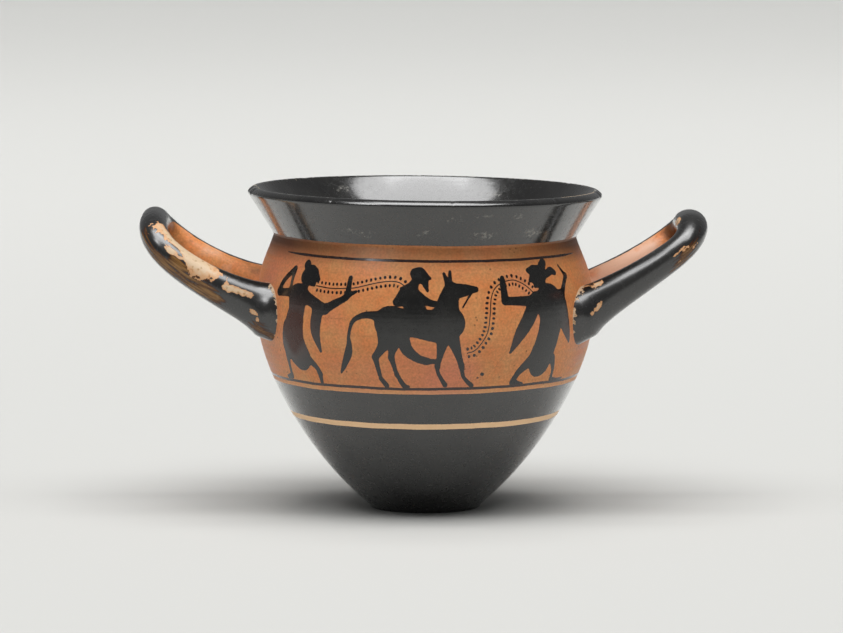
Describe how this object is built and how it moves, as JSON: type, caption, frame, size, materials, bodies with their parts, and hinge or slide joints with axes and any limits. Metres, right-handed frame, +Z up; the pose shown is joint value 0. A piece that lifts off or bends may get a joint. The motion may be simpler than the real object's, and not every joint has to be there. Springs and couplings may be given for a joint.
{
  "type": "mastoid cup",
  "caption": "Hollow fired-clay drinking cup with an offset flaring rim, a body that narrows to a small flat base, upturned loop handles and a black-figure frieze.",
  "frame": {"origin": "centre of the flat resting face, under the bowl's axis", "axes": "+Z up along the bowl's axis, X through both handles, -Y towards the painted front"},
  "size_m": [0.1776, 0.111, 0.1009],
  "materials": {
    "fired_clay": "burnished orange clay with glossy black slip"
  },
  "bodies": {
    "root": {"cup": "fired_clay"}
  },
  "joints": []
}
